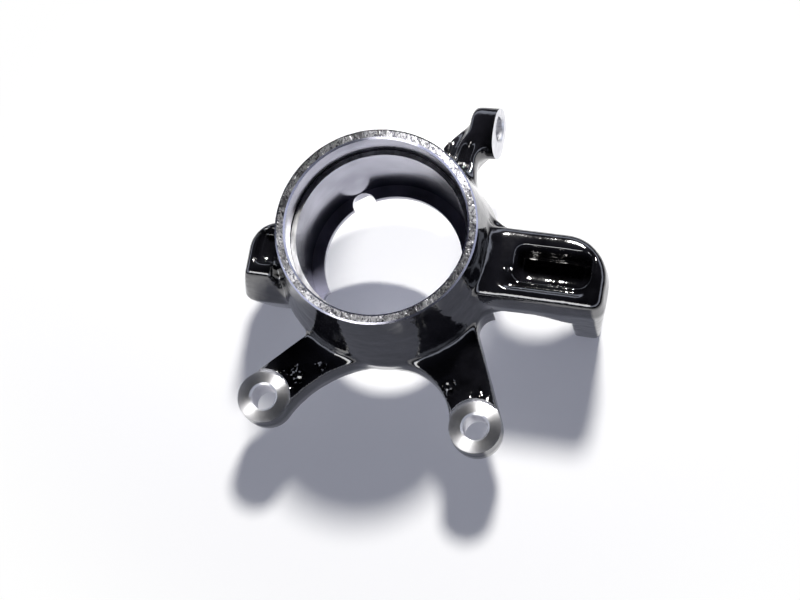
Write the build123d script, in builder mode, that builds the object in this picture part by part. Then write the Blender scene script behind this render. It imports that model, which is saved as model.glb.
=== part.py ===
"""Front steering knuckle: one iron casting, built from the hub axis outwards and then machined.

Millimetres. Z is the hub axis and points outboard, X points to the lower ball joint, Y to the tie rod,
and the origin is the middle of the wheel bearing's seat.
"""
import os
from math import cos, radians, sin, tan

from build123d import *

# Wheel bearing seat, which the rest of the ring follows
bearing_r = 37.0
bearing_width = 39.0
entry_ledge = 2.1
entry_depth = 14.5
groove_depth = 3.3
groove_width = 2.2
groove_gap = 0.3
shoulder = 5.6
lip_thickness = 3.0
below_lip = 4.2
notch_r = 5.3
notch_angles = (125.0, -137.0)
turned_chamfer = 0.8

# Cast ring, and the draft and rounding of every cast wall
rim_wall = 4.4
widest_wall = 13.2
widest_z = -12.0
foot_wall = 11.4
draft = 5.0
edge_round = 4.5
small_round = 1.5

# Brake caliper arms, with the angles at which their two edges leave the lugs
lug_spacing = 94.9
lug_shift_x = 2.5
lug_y = -71.0
lug_face_z = -10.5
lug_thickness = 16.0
lug_r = 12.0
lug_spot_r = 11.3
lug_hole_r = 5.6
hole_chamfer = 0.8
arm_proud = 0.9
outer_edge_angles = (46.0, 113.6)
inner_start_angles = (-22.0, 190.0)
inner_end_angles = (-92.0, -80.0)
inner_edge_r = (52.5, 25.5)
caliper_blend_r = 4.0

# Lower ball-joint arm
lower_end_x = 98.8
lower_front_y = -19.5
lower_back_y = 14.5
lower_top_z = 14.0
lower_corner_r = 6.0
lower_far_corner_r = 20.0
lower_blend_r = 9.0
lower_ribs = (12.0, 8.5, 7.7)
lower_pocket_length = 33.0
lower_pocket_depth = 13.0
pocket_draft = 8.0
leg_thickness = 15.9
leg_step = 2.0
leg_step_z = -19.5
arch_start = (50.0, -12.6)
arch_crown = (66.0, -10.4)

# Upper ball-joint boss
upper_end_x = -65.0
upper_front_y = -26.0
upper_back_y = 10.0
upper_parting_z = -20.0
upper_top_z = 8.0
upper_draft = 11.0
upper_corner_r = 4.5
upper_far_corner_r = 18.0
upper_blend_r = 4.5
upper_ribs = (10.5, 9.0, 8.5)
upper_pocket_depth = 7.0
upper_thickness = 20.0

# Ball-joint studs, and the feet that the knuckle lies on
stud_r = 7.5
stud_z = -37.0
foot_z = -50.0

# Tie-rod arm
tie_x = 39.8
tie_y = 63.9
tie_z = -5.0
tie_lean = 10.0
tie_lug_r = 9.4
tie_lug_stretch = 4.8
tie_lug_thickness = 12.0
tie_hole_r = 5.5
tie_arm_rise = 8.0
tie_arm_drop = 14.0
tie_root = (13.0, 32.5)
tie_root_y = 37.0
tie_waist = (18.8, 33.6)
tie_waist_y = (55.0, 49.0)
tie_rib = 2.6
tie_channel_depth = 5.0
tie_channel_width = 4.6
tie_channel_pitch = 3.6
tie_channel_shift = 2.0
tie_channel_lead = -0.5
tie_channel_sweep = 5.8

# Webs that round the corners between neighbouring arms
front_web_r = 7.0
back_web_r = 31.0
web_overlap = 0.4

rim_z = bearing_width / 2 + entry_depth
bearing_top_z = bearing_width / 2
lip_top_z = -bearing_width / 2
lip_bottom_z = lip_top_z - lip_thickness
ring_foot_z = lip_bottom_z - below_lip
entry_r = bearing_r + entry_ledge
rim_r = entry_r + rim_wall
widest_r = bearing_r + widest_wall
foot_r = bearing_r + foot_wall
lip_r = bearing_r - shoulder
hidden_r = (bearing_r + foot_r) / 2
lug_bottom_z = lug_face_z - lug_thickness
lug_middle_z = (lug_face_z + lug_bottom_z) / 2
lug_centres = (
    Vector(lug_shift_x - lug_spacing / 2, lug_y),
    Vector(lug_shift_x + lug_spacing / 2, lug_y),
)
leg_face_x = lower_end_x - leg_thickness
lower_middle_y = (lower_front_y + lower_back_y) / 2
upper_inner_x = upper_end_x + upper_thickness
upper_middle_y = (upper_front_y + upper_back_y) / 2


def polar(radius, angle, centre=Vector(0, 0)):
    """Point at a radius and an angle in degrees about a centre."""
    return centre + Vector(radius * cos(radians(angle)), radius * sin(radians(angle)))


def cone_r(z):
    """Radius of the flared ring above its widest circle."""
    return rim_r + (widest_r - rim_r) * (rim_z - z) / (rim_z - widest_z)


def cast_prism(plan, top_z, bottom_z, parting_z, slope=draft):
    """Plan outline drawn out of its mould both ways from the parting plane."""
    at_parting = Pos(0, 0, parting_z) * plan
    with BuildPart() as prism:
        extrude(at_parting, amount=top_z - parting_z, taper=slope)
        extrude(at_parting, amount=parting_z - bottom_z, dir=(0, 0, -1), taper=slope)
    return prism.part


def ring_blend(plan, top_z, blend_r):
    """Hollow rounding from an arm's top face up to the flared ring, within the arm's rounded edges."""
    reach = 2 * blend_r
    inset = offset(plan, -edge_round, kind=Kind.INTERSECTION)
    high = (cone_r(top_z + reach), top_z + reach)
    far = (cone_r(top_z) + reach, top_z)
    with BuildPart() as blend:
        with BuildSketch(Plane.XZ):
            with BuildLine():
                FilletPolyline(high, (cone_r(top_z), top_z), far, radius=blend_r)
                Polyline(far, (far[0], top_z - small_round), (hidden_r, top_z - small_round), high)
            make_face()
        revolve(axis=Axis.Z)
        extrude(Pos(0, 0, top_z - reach) * inset, amount=2 * reach, mode=Mode.INTERSECT)
    return blend.part


def pocket(inner_x, outer_x, front_y, back_y, top_z, depth):
    """Pocket with drafted walls, open at the top."""
    with BuildPart() as hollow:
        with BuildSketch(Plane.XY.offset(top_z)) as mouth:
            with Locations(((inner_x + outer_x) / 2, (front_y + back_y) / 2)):
                Rectangle(abs(outer_x - inner_x), back_y - front_y)
            fillet(mouth.vertices(), 2 * small_round)
        extrude(amount=depth, dir=(0, 0, -1), taper=pocket_draft)
        fillet(hollow.faces().sort_by(Axis.Z)[0].edges(), small_round)
    return hollow.part


def arm_block(root_x, end_x, front_y, back_y, front_corner_r, back_corner_r):
    """Plan of an arm along X, rounded at its end."""
    with BuildSketch() as plan:
        with Locations(((root_x + end_x) / 2, (front_y + back_y) / 2)):
            Rectangle(abs(end_x - root_x), back_y - front_y)
        side_length = abs(end_x - root_x) - small_round
        for corner_y, corner_r in ((front_y, front_corner_r), (back_y, back_corner_r)):
            corner = plan.vertices().sort_by_distance((end_x, corner_y))[0]
            fillet(corner, min(corner_r, side_length))
    return plan.sketch


def round_top(block, keep_x):
    """Block with its top rim rounded, apart from the end that goes into the ring."""
    top = block.faces().sort_by(Axis.Z)[-1]
    rim = top.edges().filter_by(lambda edge: abs(edge.center().X) > keep_x)
    return block.fillet(edge_round, rim)


def caliper_arm_plan(side):
    """Plan of one caliper arm: a straight outer edge, a hollow inner edge and a round lug."""
    centre = lug_centres[side]
    turn = 90 - 180 * side
    outer = polar(lug_r, outer_edge_angles[side] + turn, centre)
    outer_end = polar(lug_spacing / 2, outer_edge_angles[side], outer)
    inner = polar(lug_r, inner_start_angles[side], centre)
    inner_end = polar(widest_r - small_round / 2, inner_end_angles[side])
    bow = inner_edge_r[side] * (1 - 2 * side)
    with BuildSketch() as plan:
        with Locations(centre):
            Circle(lug_r)
        with BuildLine():
            Polyline(outer_end, outer, centre, inner)
            RadiusArc(inner, inner_end, bow)
            Line(inner_end, outer_end)
        make_face()
    return plan.sketch


def corner_web(corner, first_angle, second_angle, radius):
    """Plan of the web that rounds the corner between two neighbouring arms, let a little into both."""
    half_angle = radians((second_angle - first_angle) / 2)
    inner_corner = polar(-web_overlap / sin(half_angle), (first_angle + second_angle) / 2, corner)
    reach = radius / tan(half_angle) + small_round
    first = polar(reach, first_angle, inner_corner)
    second = polar(reach, second_angle, inner_corner)
    with BuildSketch() as plan:
        with BuildLine():
            FilletPolyline(first, inner_corner, second, radius=radius)
            Polyline(second, Vector(0, 0), first)
        make_face()
    return plan.sketch


def arch():
    """Space below the lower arm, between the ring's foot and the leg."""
    arch_end = (leg_face_x - leg_step, leg_step_z)
    with BuildPart() as space:
        with BuildSketch(Plane.XZ):
            with BuildLine():
                ThreePointArc(arch_start, arch_crown, arch_end)
                Polyline(
                    arch_end,
                    (leg_face_x, leg_step_z),
                    (leg_face_x, foot_z),
                    (arch_start[0], foot_z),
                    arch_start,
                )
            make_face()
        extrude(amount=rim_r, both=True)
    return space.part


def lower_arm():
    """Arm to the lower ball joint: ribbed channel on top and a leg at the end."""
    corners = (lower_corner_r, lower_far_corner_r)
    plan = arm_block(hidden_r, lower_end_x, lower_front_y, lower_back_y, *corners)
    front_rib, back_rib, end_rib = lower_ribs
    pocket_end = lower_end_x - end_rib
    with BuildPart() as arm:
        add(round_top(cast_prism(plan, lower_top_z, foot_z, 0), widest_r))
        with Locations((arch_start[0] + small_round, 0, arch_start[1])):
            Box(
                widest_r,
                2 * rim_r,
                arch_start[1] - foot_z,
                align=(Align.MAX, Align.CENTER, Align.MAX),
                mode=Mode.SUBTRACT,
            )
        add(ring_blend(plan, lower_top_z, lower_blend_r))
        add(
            pocket(
                pocket_end - lower_pocket_length,
                pocket_end,
                lower_front_y + front_rib,
                lower_back_y - back_rib,
                lower_top_z,
                lower_pocket_depth,
            ),
            mode=Mode.SUBTRACT,
        )
    return arm.part


def upper_boss():
    """Boss for the upper ball joint: a shallow pocket on top and a foot that reaches below the ring."""
    sides = (upper_end_x, upper_front_y, upper_back_y, upper_corner_r, upper_far_corner_r)
    plan = arm_block(-hidden_r, *sides)
    top_inset = (upper_top_z - upper_parting_z) * tan(radians(upper_draft))
    top_plan = offset(arm_block(0, *sides), -top_inset, kind=Kind.INTERSECTION)
    front_rib, back_rib, end_rib = upper_ribs
    with BuildPart() as boss:
        add(round_top(cast_prism(plan, upper_top_z, foot_z, upper_parting_z, upper_draft), widest_r))
        with Locations((upper_inner_x, 0, foot_z)):
            Box(
                widest_r,
                2 * widest_r,
                ring_foot_z - foot_z,
                align=(Align.MIN, Align.CENTER, Align.MIN),
                mode=Mode.SUBTRACT,
            )
        add(ring_blend(top_plan, upper_top_z, upper_blend_r))
        add(
            pocket(
                upper_end_x + end_rib,
                -hidden_r,
                upper_front_y + front_rib,
                upper_back_y - back_rib,
                upper_top_z,
                upper_pocket_depth,
            ),
            mode=Mode.SUBTRACT,
        )
    return boss.part


def tie_arm():
    """Curved tie-rod arm with two channels beside a middle rib, and the lug at its end."""
    left, right = tie_root
    left_waist, right_waist = tie_waist
    lug_back_x = tie_x - tie_lug_thickness
    arm_front_x = tie_x - small_round
    lug_end_y = tie_y + small_round
    lug_start_y = tie_y - tie_lug_r
    with BuildSketch() as plan:
        with BuildLine():
            Line((left, tie_root_y), (right, tie_root_y))
            ThreePointArc((right, tie_root_y), (right_waist, tie_waist_y[1]), (arm_front_x, lug_start_y))
            Polyline((arm_front_x, lug_start_y), (arm_front_x, lug_end_y), (lug_back_x, lug_end_y))
            ThreePointArc((lug_back_x, lug_end_y), (left_waist, tie_waist_y[0]), (left, tie_root_y))
        make_face()
    top_z = tie_z + tie_arm_rise
    channel_middle = (left_waist + right_waist) / 2 - tie_channel_shift
    lug_axis = (cos(radians(tie_lean)), 0, sin(radians(tie_lean)))
    lug_plane = Plane(origin=(tie_x, tie_y, tie_z), x_dir=(0, 1, 0), z_dir=lug_axis)
    with BuildPart() as arm:
        block = cast_prism(plan.sketch, top_z, tie_z - tie_arm_drop, tie_z)
        rim = block.faces().sort_by(Axis.Z)[-1].edges().filter_by(lambda edge: edge.center().Y > rim_r)
        add(block.chamfer(small_round, None, rim))
        with BuildSketch(Plane.XY.offset(top_z)):
            for shift in (-1, 1):
                with BuildLine():
                    channel = ThreePointArc(
                        (channel_middle + shift * tie_channel_pitch - tie_channel_lead, tie_root_y),
                        (channel_middle + shift * tie_channel_pitch, (tie_root_y + tie_y) / 2),
                        (channel_middle + shift * tie_channel_pitch + tie_channel_sweep, tie_y - tie_rib),
                    )
                SlotArc(channel, tie_channel_width)
        extrude(amount=-tie_channel_depth, mode=Mode.SUBTRACT)
        with BuildPart() as lug:
            with BuildSketch(lug_plane):
                with Locations((-tie_lug_stretch / 2, 0)):
                    SlotCenterToCenter(tie_lug_stretch, 2 * tie_lug_r)
            extrude(amount=-tie_lug_thickness)
            chamfer(lug.faces().filter_by(lug_plane).sort_by(Axis.X)[0].edges(), small_round)
        with Locations(lug_plane):
            mouth_r = tie_hole_r + hole_chamfer
            CounterSinkHole(tie_hole_r, mouth_r, depth=tie_lug_thickness, counter_sink_angle=90)
    return arm.part


def machined_ring():
    """Turned bore of the ring: entry, snap-ring groove, bearing seat, shoulder and recess."""
    groove_bottom_z = bearing_top_z + groove_gap
    groove_top_z = groove_bottom_z + groove_width
    groove_r = bearing_r + groove_depth
    with BuildPart() as bore:
        with BuildSketch(Plane.XZ):
            with BuildLine():
                Polyline(
                    (0, rim_z),
                    (entry_r + turned_chamfer, rim_z),
                    (entry_r, rim_z - turned_chamfer),
                    (entry_r, groove_top_z),
                    (groove_r, groove_top_z),
                    (groove_r, groove_bottom_z),
                    (entry_r, groove_bottom_z),
                    (entry_r, bearing_top_z),
                    (bearing_r, bearing_top_z),
                    (bearing_r, lip_top_z),
                    (lip_r, lip_top_z),
                    (lip_r, lip_bottom_z),
                    (bearing_r, lip_bottom_z),
                    (bearing_r, ring_foot_z),
                    (0, ring_foot_z),
                    close=True,
                )
            make_face()
        revolve(axis=Axis.Z)
        with Locations(*[polar(lip_r, angle) + Vector(0, 0, lip_bottom_z) for angle in notch_angles]):
            Cylinder(notch_r, lip_thickness, align=(Align.CENTER, Align.CENTER, Align.MIN))
    return bore.part


with BuildPart() as knuckle:
    with BuildSketch(Plane.XZ) as section:
        with BuildLine():
            Polyline(
                (0, ring_foot_z),
                (foot_r, ring_foot_z),
                (widest_r, widest_z),
                (rim_r, rim_z - turned_chamfer),
                (rim_r - turned_chamfer, rim_z),
                (0, rim_z),
                close=True,
            )
        make_face()
        fillet(section.vertices().sort_by(Axis.X)[-1], edge_round)
    revolve(axis=Axis.Z)
    for side in (0, 1):
        plan = caliper_arm_plan(side)
        add(cast_prism(plan, lug_face_z + arm_proud, lug_bottom_z, lug_middle_z))
        add(ring_blend(plan, lug_face_z + arm_proud, caliper_blend_r))
    add(lower_arm())
    add(upper_boss())
    add(tie_arm())
    edge_start = polar(lug_r, outer_edge_angles[1] - 90, lug_centres[1])
    edge_run = (lower_front_y - edge_start.Y) / sin(radians(outer_edge_angles[1]))
    front_corner = polar(edge_run, outer_edge_angles[1], edge_start)
    front_web = corner_web(front_corner, outer_edge_angles[1] - 180, 0, front_web_r)
    web_plane = Pos(0, 0, lug_bottom_z + web_overlap)
    extrude(web_plane * front_web, amount=lug_thickness + arm_proud - 2 * web_overlap)
    back_web = corner_web(Vector(tie_waist[1], lower_back_y), 0, 90, back_web_r)
    add(cast_prism(back_web, tie_z + tie_arm_rise, tie_z - tie_arm_drop, tie_z))
    add(arch(), mode=Mode.SUBTRACT)
    add(machined_ring(), mode=Mode.SUBTRACT)
    with Locations(*[centre + Vector(0, 0, lug_face_z) for centre in lug_centres]):
        Cylinder(lug_spot_r, edge_round, align=(Align.CENTER, Align.CENTER, Align.MIN), mode=Mode.SUBTRACT)
        CounterSinkHole(lug_hole_r, lug_hole_r + hole_chamfer, depth=lug_thickness, counter_sink_angle=90)
    with Locations(Plane(origin=(lower_end_x, lower_middle_y, stud_z), z_dir=(1, 0, 0))):
        Hole(stud_r, depth=leg_thickness)
    with Locations(Plane(origin=(upper_end_x, upper_middle_y, stud_z), z_dir=(-1, 0, 0))):
        Hole(stud_r, depth=upper_thickness)

os.makedirs("parts", exist_ok=True)
knuckle.part.label = "knuckle"
export_step(knuckle.part, "parts/knuckle.step")
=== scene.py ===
import math
import bmesh
import bpy
from mathutils import Matrix, Vector, noise


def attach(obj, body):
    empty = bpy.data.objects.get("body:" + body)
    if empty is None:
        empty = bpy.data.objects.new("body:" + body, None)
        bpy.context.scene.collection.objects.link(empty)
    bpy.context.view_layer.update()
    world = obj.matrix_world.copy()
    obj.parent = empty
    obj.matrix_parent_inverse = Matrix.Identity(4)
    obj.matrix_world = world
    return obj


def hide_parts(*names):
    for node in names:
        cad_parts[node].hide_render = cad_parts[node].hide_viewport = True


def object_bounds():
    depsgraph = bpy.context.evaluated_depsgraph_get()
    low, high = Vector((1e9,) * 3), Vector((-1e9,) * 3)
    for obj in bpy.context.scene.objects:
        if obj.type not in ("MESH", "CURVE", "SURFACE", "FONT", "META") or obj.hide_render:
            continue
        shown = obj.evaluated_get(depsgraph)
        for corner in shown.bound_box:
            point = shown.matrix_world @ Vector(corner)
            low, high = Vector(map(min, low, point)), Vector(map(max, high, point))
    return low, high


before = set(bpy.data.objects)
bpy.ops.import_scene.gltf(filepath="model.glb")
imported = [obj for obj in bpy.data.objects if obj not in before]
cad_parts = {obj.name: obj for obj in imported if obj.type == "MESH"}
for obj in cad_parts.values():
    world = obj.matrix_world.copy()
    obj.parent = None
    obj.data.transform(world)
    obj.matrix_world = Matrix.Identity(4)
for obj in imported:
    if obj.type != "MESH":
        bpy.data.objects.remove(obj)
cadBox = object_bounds()
print("frame loaded")


def mm(*values):
    return Vector(values) / 1000


# camera, at the photograph's angle
camera = {
    "lens": 81.0,
    "sensorWidth": 36.0,
    "position": (149.41, -220.12, 746.51),
    "right": (0.975605, 0.171547, -0.136995),
    "up": (-0.128590, 0.952302, 0.276739),
    "back": (0.177934, -0.252372, 0.951130),
}
view = bpy.data.objects.new("view", bpy.data.cameras.new("view"))
view.data.lens = camera["lens"]
view.data.sensor_width = camera["sensorWidth"]
view.matrix_world = Matrix.Translation(mm(*camera["position"])) @ Matrix(
    (camera["right"], camera["up"], camera["back"])).transposed().to_4x4()
bpy.context.scene.collection.objects.link(view)
bpy.context.scene.camera = view
print("camera placed")


# the cast form: the CAD body with stock on every machined face, melted into one skin (mm)
casting = {
    "weld": 0.001,
    "coneWidening": 6.7,
    "coneHeight": 46.0,
    "rimStock": (20.0, 5.0),  # below and above the rim face
    "boreStockR": 44.0,
    "boreStockDrop": 15.0,
    "lugStockR": 11.7,
    "lugStock": (6.0, 2.2),  # below and above each lug face
    "holeStock": 0.5,
    "tieStockR": 9.4,
    "tieStock": (3.0, 4.0),  # below and above the tie-rod face
    "tieStockShifts": (-4.8, -2.4, 0.0),
    "studStock": 0.3,
    "studStockDrop": 4.5,
    "voxel": 0.9,
    "allOverSmooth": 4,
    "cornerSmooth": 30,
    "cornerSpread": 3,
    "cornerDepth": 0.035,  # how deep a corner lies under its neighbours to count as hollow
    "lumpSize": 9.0,
    "lumpDepth": 0.22,
    "fineLumps": (2.7, 0.4),  # how much finer than the others, and their share
    "footMargin": 0.6,  # the feet stay flat up to here
    "topFacing": 0.7,
    "dimpleSize": 1.9,
    "dimpleMix": (0.5, 1.6),  # plain and mottled share of a dimple
    # x, y, reach and depth of each
    "dimples": ((-33.5, -59.5, 6.5, 1.6), (-21.8, -54.0, 3.5, 1.4), (36.5, -56.0, 6.0, 1.6),
                (49.5, -56.0, 4.0, 1.3), (57.0, -4.5, 4.0, 0.8)),
    "sharpAngle": 32.0,
    "tieSmooth": 12,
    "tieReach": ((8.0, 39.0, -12.0), (35.0, 62.0, 8.0)),  # two corners of the smoothed box
    "footZ": -50.0,
    "troughFoot": -5.0,
    "troughEnds": (50.0, 58.0, 86.0, 94.0),  # x where its shift starts, is full, is last full and ends
    "troughSides": (-18.5, -9.0, -4.0, 3.0),  # the same in y
    "troughShift": 2.4,
    "troughLean": (-9.5, 4.5, 1.8),  # y, half width and depth of its lowest line
}
machining = {
    "boreR": 37.0,
    "boreTop": 19.5,
    "entryR": 39.1,
    "rimR": 43.5,
    "rimTop": 34.0,
    "rimFlare": 0.1,
    "grooveR": 40.3,
    "grooveFoot": 19.8,
    "grooveTop": 22.0,
    "lipR": 31.4,
    "lipFoot": -22.5,
    "ringFoot": -26.7,
    "notchR": 5.3,
    "notchAngles": (125.0, -137.0),
    "edge": 0.8,
    "lugs": {"upperSpotFace": (-44.95, -71.0), "lowerSpotFace": (49.95, -71.0)},
    "lugTop": -10.5,
    "lugFoot": -26.5,
    "lugSpotR": 12.4,
    "lugBevel": (11.0, 0.55),  # radius where it starts, and its drop
    "lugHoleR": 5.6,
    "tieCentre": (39.8, 63.9, -5.0),
    "tieLean": 10.0,
    "tieFaceR": 15.0,
    "tieHoleR": 5.5,
    "tieLength": 12.0,
    "studR": 7.5,
    "studZ": -37.0,
    "lowerStud": (98.8, -2.5, 82.9),  # outer x, y and inner x
    "upperStud": (-65.0, -8.0, -45.0),
    "ringCut": (60.0, 50.0),  # radius and top of what is turned away
    "faceCut": 9.0,
    "lugHoleCut": 22.0,
    "studCut": 25.0,
    "cutPast": 4.0,
    "ringCutPast": 5.0,
    "notchCutPast": 2.0,
    "levelMargin": 0.1,
    "boreSteps": 160,
    "holeSteps": 64,
    "notchSteps": 48,
    "stockSteps": 96,
}


def newPiece(name, bm, materials):
    mesh = bpy.data.meshes.new(name)
    bm.to_mesh(mesh)
    bm.free()
    for material in materials:
        mesh.materials.append(material)
    piece = bpy.data.objects.new(name, mesh)
    bpy.context.scene.collection.objects.link(piece)
    return piece


def drum(bm, radiusLow, radiusHigh, low, high, place=Matrix.Identity(4), segments=machining["stockSteps"]):
    # a closed cone or cylinder along the place's own Z, sizes in mm
    bmesh.ops.create_cone(
        bm, cap_ends=True, segments=segments, radius1=radiusLow / 1000, radius2=radiusHigh / 1000,
        depth=(high - low) / 1000, matrix=place @ Matrix.Translation(mm(0, 0, (low + high) / 2)))


def turnProfile(bm, points, place, steps):
    # spins a section of (radius, height) points round the place's own Z
    verts = [bm.verts.new(mm(radius, 0, height)) for radius, height in points]
    edges = [bm.edges.new(pair) for pair in zip(verts, verts[1:])]
    bmesh.ops.spin(bm, geom=verts + edges, cent=(0, 0, 0), axis=(0, 0, 1), dvec=(0, 0, 0),
                   angle=2 * math.pi, steps=steps, use_merge=True)
    made = set(verts)
    reach = list(verts)
    while reach:
        vert = reach.pop()
        for edge in vert.link_edges:
            other = edge.other_vert(vert)
            if other not in made:
                made.add(other)
                reach.append(other)
    bmesh.ops.remove_doubles(bm, verts=list(made), dist=casting["weld"] / 1000)
    made = [vert for vert in made if vert.is_valid]
    bmesh.ops.transform(bm, matrix=place, verts=made)
    faces = list({face for vert in made for face in vert.link_faces})
    bmesh.ops.recalc_face_normals(bm, faces=faces)
    return faces


def applyModifiers(piece):
    graph = bpy.context.evaluated_depsgraph_get()
    mesh = bpy.data.meshes.new_from_object(piece.evaluated_get(graph), depsgraph=graph)
    piece.modifiers.clear()
    piece.data = mesh


def alongX(x, y, z, turn):
    # a place whose own Z is turned from Z towards X
    return Matrix.Translation(mm(x, y, z)) @ Matrix.Rotation(math.radians(turn), 4, "Y")


def tiePlace():
    return alongX(*machining["tieCentre"], 90 - machining["tieLean"])


def studPlaces():
    # each stud bore's length, and its place with Z outward from the inner end
    for outer, y, inner in (machining["lowerStud"], machining["upperStud"]):
        yield abs(outer - inner), alongX(inner, y, machining["studZ"], 90 if outer > 0 else -90)


def smooth(bm, verts, times):
    for step in range(times):
        bmesh.ops.smooth_vert(bm, verts=verts, factor=0.5, use_axis_x=True, use_axis_y=True, use_axis_z=True)


def addStock(bm):
    # metal over the machined faces and in the holes, so that the melted skin has no edge there
    c, m = casting, machining
    slope = c["coneWidening"] / c["coneHeight"]
    below, above = c["rimStock"]
    drum(bm, m["rimR"] + below * slope, m["rimR"] - above * slope, m["rimTop"] - below, m["rimTop"] + above)
    drum(bm, c["boreStockR"], c["boreStockR"], m["ringFoot"], m["rimTop"] - c["boreStockDrop"])
    for x, y in m["lugs"].values():
        below, above = c["lugStock"]
        plugR = m["lugHoleR"] + c["holeStock"]
        lugPlace = Matrix.Translation(mm(x, y, 0))
        drum(bm, c["lugStockR"], c["lugStockR"], m["lugTop"] - below, m["lugTop"] + above, lugPlace)
        drum(bm, plugR, plugR, m["lugFoot"], m["lugTop"], lugPlace)
    plugR = m["tieHoleR"] + c["holeStock"]
    drum(bm, plugR, plugR, -m["tieLength"], 0, tiePlace())
    below, above = c["tieStock"]
    for shift in c["tieStockShifts"]:
        drum(bm, c["tieStockR"], c["tieStockR"], -below, above,
             tiePlace() @ Matrix.Translation(mm(0, shift, 0)))
    plugR = m["studR"] + c["studStock"]
    for length, place in studPlaces():
        drum(bm, plugR, plugR, 0, length - c["studStockDrop"], place)


def roundCorners(bm):
    # smooths the hollow corners most, less around them and least all over
    c = casting
    bm.normal_update()
    hollow = set()
    for vert in bm.verts:
        ring = [edge.other_vert(vert).co for edge in vert.link_edges]
        middle = sum(ring, Vector()) / len(ring)
        if (middle - vert.co).dot(vert.normal) > c["cornerDepth"] / 1000:
            hollow.add(vert)
    print("hollow corners", len(hollow), "of", len(bm.verts))
    groups = [hollow]
    for step in range(c["cornerSpread"]):
        groups.append(groups[-1] | {edge.other_vert(vert) for vert in groups[-1] for edge in vert.link_edges})
    for group in reversed(groups):
        smooth(bm, list(group), c["cornerSmooth"] // len(groups))
    smooth(bm, bm.verts, c["allOverSmooth"])
    low, high = c["tieReach"]
    tieArm = [vert for vert in bm.verts
              if all(least < at * 1000 < most for least, at, most in zip(low, vert.co, high))]
    smooth(bm, tieArm, c["tieSmooth"])


def easeBetween(value, startAt, fullAt):
    part = min(max((value - startAt) / (fullAt - startAt), 0), 1)
    return part * part * (3 - 2 * part)


def widenTrough(bm):
    # the lower arm's trough leans out towards its front rib, as a worn pattern leaves it
    c = casting
    ends, sides = c["troughEnds"], c["troughSides"]
    leanAt, leanWide, leanDeep = c["troughLean"]
    for vert in bm.verts:
        spot = vert.co * 1000
        if spot.z < c["troughFoot"] or not ends[0] < spot.x < ends[3]:
            continue
        along = easeBetween(spot.x, ends[0], ends[1]) * (1 - easeBetween(spot.x, ends[2], ends[3]))
        across = easeBetween(spot.y, sides[0], sides[1]) * (1 - easeBetween(spot.y, sides[2], sides[3]))
        near = max(1 - ((spot.y - leanAt) / leanWide) ** 2, 0)
        vert.co += mm(0, -c["troughShift"] * along * across, -leanDeep * along * near * near)


def unevenSkin(bm):
    # the sand mould's low lumps all over, and a few shallow dimples in the arms' top faces
    c = casting
    fineness, fineShare = c["fineLumps"]
    plain, mottled = c["dimpleMix"]
    pushes = []
    for vert in bm.verts:
        spot = vert.co * 1000
        if spot.z < c["footZ"] + c["footMargin"]:
            continue
        lump = noise.noise(spot / c["lumpSize"]) + fineShare * noise.noise(spot * fineness / c["lumpSize"])
        push = c["lumpDepth"] * (1 + lump) / 2
        if vert.normal.z > c["topFacing"]:
            for x, y, reach, depth in c["dimples"]:
                near = max(1 - ((spot.x - x) ** 2 + (spot.y - y) ** 2) / reach ** 2, 0)
                push += depth * near * (plain + mottled * noise.noise(spot / c["dimpleSize"]))
        pushes.append((vert, push / 1000))
    for vert, push in pushes:
        vert.co -= vert.normal * push


def castForm():
    bm = bmesh.new()
    bm.from_mesh(bpy.data.objects["knuckle"].data)
    bmesh.ops.remove_doubles(bm, verts=bm.verts, dist=casting["weld"] / 1000)
    addStock(bm)
    made = newPiece("castForm", bm, [])
    melt = made.modifiers.new("melt", "REMESH")
    melt.mode = "VOXEL"
    melt.voxel_size = casting["voxel"] / 1000
    applyModifiers(made)
    bm = bmesh.new()
    bm.from_mesh(made.data)
    smooth(bm, bm.verts, 1)
    roundCorners(bm)
    widenTrough(bm)
    bm.normal_update()
    unevenSkin(bm)
    bm.to_mesh(made.data)
    bm.free()
    return made


form = castForm()
print("cast form", len(form.data.polygons))
form.data.materials.clear()


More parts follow.
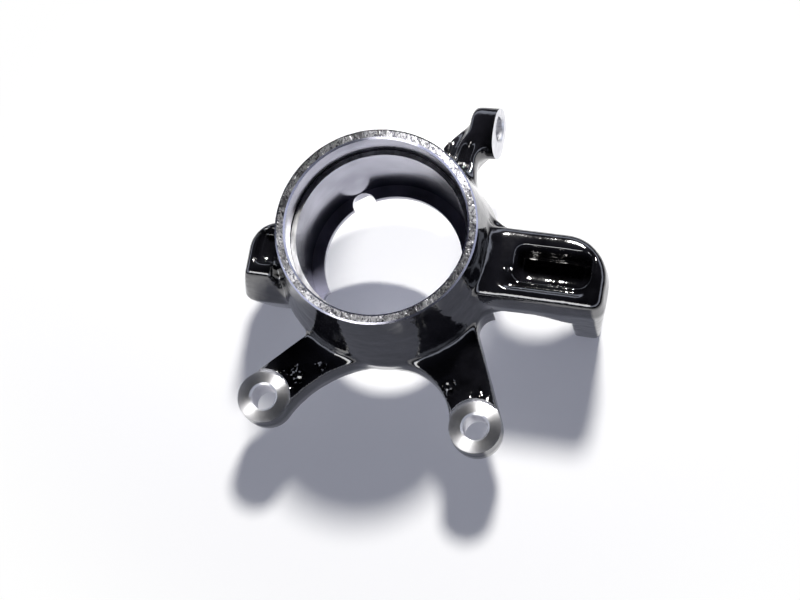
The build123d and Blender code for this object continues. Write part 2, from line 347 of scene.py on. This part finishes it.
def machiningCuts(materials):
    # what the lathe and the mill take away, its faces in the finish that each tool leaves
    m = machining
    slots = {material.name: index for index, material in enumerate(materials)}
    bm = bmesh.new()
    cutR, cutTop = m["ringCut"]
    cutFoot = m["ringFoot"] - m["ringCutPast"]
    bore = turnProfile(bm, [
        (0, cutTop), (cutR, cutTop), (cutR, m["rimTop"] - m["edge"]),
        (m["rimR"] + m["rimFlare"], m["rimTop"] - m["edge"]), (m["rimR"] - m["edge"], m["rimTop"]),
        (m["entryR"] + m["edge"], m["rimTop"]), (m["entryR"], m["rimTop"] - m["edge"]),
        (m["entryR"], m["grooveTop"]), (m["grooveR"], m["grooveTop"]), (m["grooveR"], m["grooveFoot"]),
        (m["entryR"], m["grooveFoot"]), (m["entryR"], m["boreTop"]), (m["boreR"], m["boreTop"]),
        (m["boreR"], -m["boreTop"]), (m["lipR"], -m["boreTop"]), (m["lipR"], m["lipFoot"]),
        (m["boreR"], m["lipFoot"]), (m["boreR"], cutFoot), (0, cutFoot)], Matrix.Identity(4), m["boreSteps"])
    levels = {"milledRim": m["rimTop"], "tieFace": m["boreTop"], "lipFace": -m["boreTop"]}
    for face in bore:
        height = face.calc_center_median().z * 1000
        for name, level in levels.items():
            if abs(height - level) < m["levelMargin"]:
                face.material_index = slots[name]
    for name, (x, y) in m["lugs"].items():
        bevelR, bevelDepth = m["lugBevel"]
        spot = turnProfile(bm, [
            (0, m["faceCut"]), (m["lugSpotR"], m["faceCut"]), (m["lugSpotR"], -bevelDepth), (bevelR, 0),
            (m["lugHoleR"] + m["edge"], 0), (m["lugHoleR"], -m["edge"]), (m["lugHoleR"], -m["lugHoleCut"]),
            (0, -m["lugHoleCut"])], Matrix.Translation(mm(x, y, m["lugTop"])), m["holeSteps"])
        for face in spot:
            face.material_index = slots[name]
    tieFoot = -m["tieLength"] - m["cutPast"]
    tie = turnProfile(bm, [
        (0, m["faceCut"]), (m["tieFaceR"], m["faceCut"]), (m["tieFaceR"], 0), (m["tieHoleR"] + m["edge"], 0),
        (m["tieHoleR"], -m["edge"]), (m["tieHoleR"], tieFoot), (0, tieFoot)], tiePlace(), m["holeSteps"])
    for face in tie:
        face.material_index = slots["tieFace"]
    for length, place in studPlaces():
        turnProfile(bm, [(0, m["studCut"]), (m["studR"], m["studCut"]), (m["studR"], -m["cutPast"]),
                         (0, -m["cutPast"])], place, m["holeSteps"])
    return newPiece("cuts", bm, materials)


def notchCuts(materials):
    m = machining
    bm = bmesh.new()
    for angle in m["notchAngles"]:
        spot = Matrix.Rotation(math.radians(angle), 4, "Z") @ Matrix.Translation(mm(m["lipR"], 0, 0))
        drum(bm, m["notchR"], m["notchR"], m["lipFoot"] - m["notchCutPast"], m["notchCutPast"] - m["boreTop"],
             spot, m["notchSteps"])
    return newPiece("notches", bm, materials)


# finishes: each starts from plain values, and noise in object space breaks up tone, gloss and relief.
# A pattern is its scale, detail, stretch, turn in degrees and bend; depths are in mm
paintFinish = {
    "plainGloss": 0.1,
    "tones": ((0.003, 0.003, 0.004), (0.011, 0.011, 0.015)),
    "gloss": (0.05, 0.13),
    "ior": 1.95,
    "cloud": (60.0, 4.0),
    "lumps": (240.0, 2.0),
    "lumpDepth": 0.14,
    "orangePeel": (900.0, 2.0),
    "peelDepth": 0.02,
}
boreFinish = {
    "plainGloss": 0.2,
    "tones": ((0.28, 0.28, 0.34), (0.46, 0.46, 0.53)),
    "gloss": (0.14, 0.24),
    "brushed": 0.4,
    "rings": (100.0, 4.0, (0.6, 0.6, 30.0)),
    "ringDepth": 0.004,
    "stain": (45.0, 3.0),
}
rimFinish = {
    "plainGloss": 0.4,
    "tones": ((0.09, 0.09, 0.12), (0.60, 0.60, 0.64)),
    "toneRange": (0.40, 0.54),
    "gloss": (0.24, 0.34),
    "brushed": 0.6,
    "marks": (900.0, 3.0, (1.0, 0.65, 1.0), (0.0, 0.0, 35.0), 1.5),
    "markDepth": 0.12,
    "patches": (120.0, 3.0),
}
spotFinish = {
    "plainGloss": 0.3,
    "tones": ((0.84, 0.84, 0.88), (0.92, 0.92, 0.95)),
    "gloss": (0.36, 0.40),
    "brushed": 0.85,
    "stain": (160.0, 3.0),
    "grit": (500.0, 2.0),
    "gritDepth": 0.003,
}
tieFinish = {
    "plainGloss": 0.35,
    "tones": ((0.70, 0.70, 0.73), (0.90, 0.90, 0.92)),
    "gloss": (0.3, 0.42),
    "marks": (500.0, 3.0, (1.0, 0.3, 1.0)),
    "markDepth": 0.01,
}
lipFinish = {
    "plainGloss": 0.55,
    "tones": ((0.18, 0.18, 0.24), (0.26, 0.26, 0.34)),
    "gloss": (0.52, 0.60),
    "stain": (70.0, 3.0),
    "grit": (600.0, 2.0),
    "gritDepth": 0.006,
}


def shaderOf(made):
    return made.node_tree.nodes["Principled BSDF"]


def plainMaterial(name, colour, metallic, roughness):
    made = bpy.data.materials.new(name)
    made.use_nodes = True
    shader = shaderOf(made)
    shader.inputs["Base Color"].default_value = (*colour, 1)
    shader.inputs["Metallic"].default_value = metallic
    shader.inputs["Roughness"].default_value = roughness
    return made


def grain(made, scale, detail, stretch=(1, 1, 1), turn=(0, 0, 0), bend=0.0):
    # a noise value over the object, its pattern stretched and turned
    nodes, links = made.node_tree.nodes, made.node_tree.links
    place = nodes.new("ShaderNodeTexCoord")
    mapping = nodes.new("ShaderNodeMapping")
    mapping.inputs["Scale"].default_value = stretch
    mapping.inputs["Rotation"].default_value = [math.radians(angle) for angle in turn]
    speckle = nodes.new("ShaderNodeTexNoise")
    speckle.inputs["Scale"].default_value = scale
    speckle.inputs["Detail"].default_value = detail
    speckle.inputs["Distortion"].default_value = bend
    links.new(place.outputs["Object"], mapping.inputs["Vector"])
    links.new(mapping.outputs[0], speckle.inputs["Vector"])
    return speckle.outputs[0]


def spread(made, value, low, high, fromLow=0.35, fromHigh=0.65):
    # stretches the middle of a noise value over a range
    ranged = made.node_tree.nodes.new("ShaderNodeMapRange")
    for name, number in (("From Min", fromLow), ("From Max", fromHigh), ("To Min", low), ("To Max", high)):
        ranged.inputs[name].default_value = number
    made.node_tree.links.new(value, ranged.inputs["Value"])
    return ranged.outputs[0]


def twoTones(made, value, tones):
    blend = made.node_tree.nodes.new("ShaderNodeMix")
    blend.data_type = "RGBA"
    blend.inputs["A"].default_value = (*tones[0], 1)
    blend.inputs["B"].default_value = (*tones[1], 1)
    made.node_tree.links.new(value, blend.inputs["Factor"])
    return blend.outputs["Result"]


def relief(made, value, depth, under=None):
    bump = made.node_tree.nodes.new("ShaderNodeBump")
    bump.inputs["Distance"].default_value = depth / 1000
    made.node_tree.links.new(value, bump.inputs["Height"])
    if under:
        made.node_tree.links.new(under, bump.inputs["Normal"])
    return bump.outputs[0]


def linkLooks(made, colour, roughness, normal):
    for name, source in (("Base Color", colour), ("Roughness", roughness), ("Normal", normal)):
        made.node_tree.links.new(source, shaderOf(made).inputs[name])


def roundTheAxis(made, brushed, turn, centre=(0, 0, 0)):
    # the gloss runs round an axis that stands along Z at the centre, or away from it with a turn of 0
    nodes, links = made.node_tree.nodes, made.node_tree.links
    place = nodes.new("ShaderNodeTexCoord")
    fromCentre = nodes.new("ShaderNodeMapping")
    fromCentre.inputs["Location"].default_value = -mm(*centre)
    turned = nodes.new("ShaderNodeVectorRotate")
    turned.rotation_type = "Z_AXIS"
    turned.inputs["Angle"].default_value = math.radians(turn)
    links.new(place.outputs["Object"], fromCentre.inputs["Vector"])
    links.new(fromCentre.outputs[0], turned.inputs["Vector"])
    links.new(turned.outputs[0], shaderOf(made).inputs["Tangent"])
    shaderOf(made).inputs["Anisotropic"].default_value = brushed


def glossPaint():
    p = paintFinish
    made = plainMaterial("glossPaint", p["tones"][0], 0.0, p["plainGloss"])
    shaderOf(made).inputs["IOR"].default_value = p["ior"]
    lumps = relief(made, grain(made, *p["lumps"]), p["lumpDepth"])
    peel = relief(made, grain(made, *p["orangePeel"]), p["peelDepth"], lumps)
    cloud = grain(made, *p["cloud"])
    linkLooks(made, twoTones(made, spread(made, cloud, 0, 1), p["tones"]),
              spread(made, cloud, *p["gloss"]), peel)
    return made


def turnedIron():
    p = boreFinish
    made = plainMaterial("turnedIron", p["tones"][1], 1.0, p["plainGloss"])
    rings = grain(made, *p["rings"])
    stain = grain(made, *p["stain"])
    linkLooks(made, twoTones(made, spread(made, stain, 0, 1), p["tones"]),
              spread(made, rings, *p["gloss"]), relief(made, rings, p["ringDepth"]))
    roundTheAxis(made, p["brushed"], 90)
    return made


def milledRim():
    # short cutter marks that cross each other
    p = rimFinish
    made = plainMaterial("milledRim", p["tones"][1], 1.0, p["plainGloss"])
    marks = grain(made, *p["marks"])
    patches = grain(made, *p["patches"])
    linkLooks(made, twoTones(made, spread(made, marks, 0, 1, *p["toneRange"]), p["tones"]),
              spread(made, patches, *p["gloss"]), relief(made, marks, p["markDepth"]))
    roundTheAxis(made, p["brushed"], 0)
    return made


def grittyFace(name, p):
    # a stained face with a fine grit
    made = plainMaterial(name, p["tones"][1], 1.0, p["plainGloss"])
    stain = grain(made, *p["stain"])
    linkLooks(made, twoTones(made, spread(made, stain, 0, 1), p["tones"]),
              spread(made, stain, *p["gloss"]), relief(made, grain(made, *p["grit"]), p["gritDepth"]))
    return made


def spotFace(name, centre):
    made = grittyFace(name, spotFinish)
    roundTheAxis(made, spotFinish["brushed"], 0, (*centre, 0))
    return made


def tieFace():
    p = tieFinish
    made = plainMaterial("tieFace", p["tones"][1], 1.0, p["plainGloss"])
    marks = grain(made, *p["marks"])
    linkLooks(made, twoTones(made, spread(made, marks, 0, 1), p["tones"]),
              spread(made, marks, *p["gloss"]), relief(made, marks, p["markDepth"]))
    return made


paint = glossPaint()
spotFaces = [spotFace(name, centre) for name, centre in machining["lugs"].items()]
cutFinishes = [turnedIron(), milledRim(), *spotFaces, tieFace(), grittyFace("lipFace", lipFinish)]
print("finishes made")

form.data.materials.append(paint)
for cutter in (machiningCuts(cutFinishes), notchCuts(cutFinishes[:1])):
    cut = form.modifiers.new("cut", "BOOLEAN")
    cut.operation = "DIFFERENCE"
    cut.solver = "EXACT"
    cut.material_mode = "TRANSFER"
    cut.object = cutter
    applyModifiers(form)
    bpy.data.objects.remove(cutter)
print("cut", len(form.data.polygons), [slot.name for slot in form.data.materials])
form.name = "knuckleCasting"
form.data.shade_smooth()
form.data.set_sharp_from_angle(angle=math.radians(casting["sharpAngle"]))
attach(form, "root")
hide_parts("knuckle")
print("casting made")


# floor and light
studio = {
    "floorSize": 3000.0,
    "floorTone": (0.90, 0.90, 0.90),
    "floorGloss": 0.9,
    "floorLift": (0.05, 0.055, 0.09),
    "floorFade": (0.125, 0.24),
    "skyTone": (0.80, 0.85, 1.0),
    "skyLow": 1.5,
    "skyHigh": 0.0,
    "skyFade": (0.22, 0.42),
    "lampPower": 31.0,
    "lampTone": (1.0, 0.985, 0.95),
    "lampFrom": (90, 720, 900),
    "lampAway": 1600,
    "lampSize": 260,
    "windowPower": 9.0,
    "windowFrom": (-300, -1500, 380),
    "windowSize": (1200, 500),
    "snootPower": 180.0,
    "snootFrom": (90, 720, 353),
    "snootAt": (0, 15, -50),
    "snootAngle": 2.9,
    "snootBlend": 0.25,
    "snootSize": 18,
}


def paleFloor():
    # matt paper that keeps the shadow; past its end the camera sees white and a shiny face a dark room
    made = plainMaterial("floorPaper", studio["floorTone"], 0.0, studio["floorGloss"])
    nodes, links = made.node_tree.nodes, made.node_tree.links
    paper = shaderOf(made)
    paper.inputs["Specular IOR Level"].default_value = 0.0
    rays = nodes.new("ShaderNodeLightPath")
    either = nodes.new("ShaderNodeMath")
    either.operation = "MAXIMUM"
    links.new(rays.outputs["Is Camera Ray"], either.inputs[0])
    links.new(rays.outputs["Is Glossy Ray"], either.inputs[1])
    paper.inputs["Emission Color"].default_value = (*studio["floorLift"], 1)
    links.new(either.outputs[0], paper.inputs["Emission Strength"])
    place = nodes.new("ShaderNodeTexCoord")
    away = nodes.new("ShaderNodeVectorMath")
    away.operation = "LENGTH"
    links.new(place.outputs["Object"], away.inputs[0])
    fade = nodes.new("ShaderNodeMapRange")
    fade.interpolation_type = "SMOOTHSTEP"
    fade.inputs["From Min"].default_value, fade.inputs["From Max"].default_value = studio["floorFade"]
    links.new(away.outputs["Value"], fade.inputs["Value"])
    blank = nodes.new("ShaderNodeEmission")
    links.new(rays.outputs["Is Camera Ray"], blank.inputs["Strength"])
    past = nodes.new("ShaderNodeMixShader")
    links.new(fade.outputs[0], past.inputs[0])
    links.new(paper.outputs[0], past.inputs[1])
    links.new(blank.outputs[0], past.inputs[2])
    links.new(past.outputs[0], nodes["Material Output"].inputs["Surface"])
    return made


bm = bmesh.new()
bmesh.ops.create_grid(bm, x_segments=1, y_segments=1, size=studio["floorSize"] / 1000,
                      matrix=Matrix.Translation(Vector((0, 0, cadBox[0].z))))
floor = newPiece("floor", bm, [paleFloor()])


def hangLamp(name, kind, power, fromWhere, at):
    # a lamp that looks at a point from a given side
    lamp = bpy.data.objects.new(name, bpy.data.lights.new(name, kind))
    lamp.data.energy = power
    lamp.data.color = studio["lampTone"]
    reach = mm(*fromWhere).normalized() * studio["lampAway"] / 1000
    lamp.location = mm(*at) + reach
    lamp.rotation_mode = "QUATERNION"
    lamp.rotation_quaternion = (-reach).to_track_quat("-Z", "Y")
    bpy.context.scene.collection.objects.link(lamp)
    return lamp.data


backLamp = hangLamp("backLamp", "AREA", studio["lampPower"], studio["lampFrom"], (0, 0, 0))
backLamp.shape = "DISK"
backLamp.size = studio["lampSize"] / 1000

window = hangLamp("window", "AREA", studio["windowPower"], studio["windowFrom"], (0, 0, 0))
window.shape = "RECTANGLE"
window.size, window.size_y = mm(*studio["windowSize"], 0).xy

snoot = hangLamp("snoot", "SPOT", studio["snootPower"], studio["snootFrom"], studio["snootAt"])
snoot.spot_size = math.radians(studio["snootAngle"])
snoot.spot_blend = studio["snootBlend"]
snoot.shadow_soft_size = studio["snootSize"] / 1000


def studioSky():
    # brighter round the horizon, dark overhead, and plain white where the camera looks past the floor
    sky = bpy.data.worlds.new("studioSky")
    sky.use_nodes = True
    nodes, links = sky.node_tree.nodes, sky.node_tree.links
    nodes.clear()
    place = nodes.new("ShaderNodeTexCoord")
    split = nodes.new("ShaderNodeSeparateXYZ")
    links.new(place.outputs["Generated"], split.inputs[0])
    fade = nodes.new("ShaderNodeMapRange")
    fade.interpolation_type = "SMOOTHSTEP"
    fade.inputs["From Min"].default_value, fade.inputs["From Max"].default_value = studio["skyFade"]
    fade.inputs["To Min"].default_value = studio["skyLow"]
    fade.inputs["To Max"].default_value = studio["skyHigh"]
    links.new(split.outputs["Z"], fade.inputs["Value"])
    glow = nodes.new("ShaderNodeBackground")
    glow.inputs["Color"].default_value = (*studio["skyTone"], 1)
    links.new(fade.outputs[0], glow.inputs["Strength"])
    blank = nodes.new("ShaderNodeBackground")
    blank.inputs["Color"].default_value = (1, 1, 1, 1)
    rays = nodes.new("ShaderNodeLightPath")
    seen = nodes.new("ShaderNodeMixShader")
    links.new(rays.outputs["Is Camera Ray"], seen.inputs[0])
    links.new(glow.outputs[0], seen.inputs[1])
    links.new(blank.outputs[0], seen.inputs[2])
    links.new(seen.outputs[0], nodes.new("ShaderNodeOutputWorld").inputs["Surface"])
    return sky


bpy.context.scene.world = studioSky()
bpy.context.scene.view_settings.view_transform = "Standard"
print("studio set")
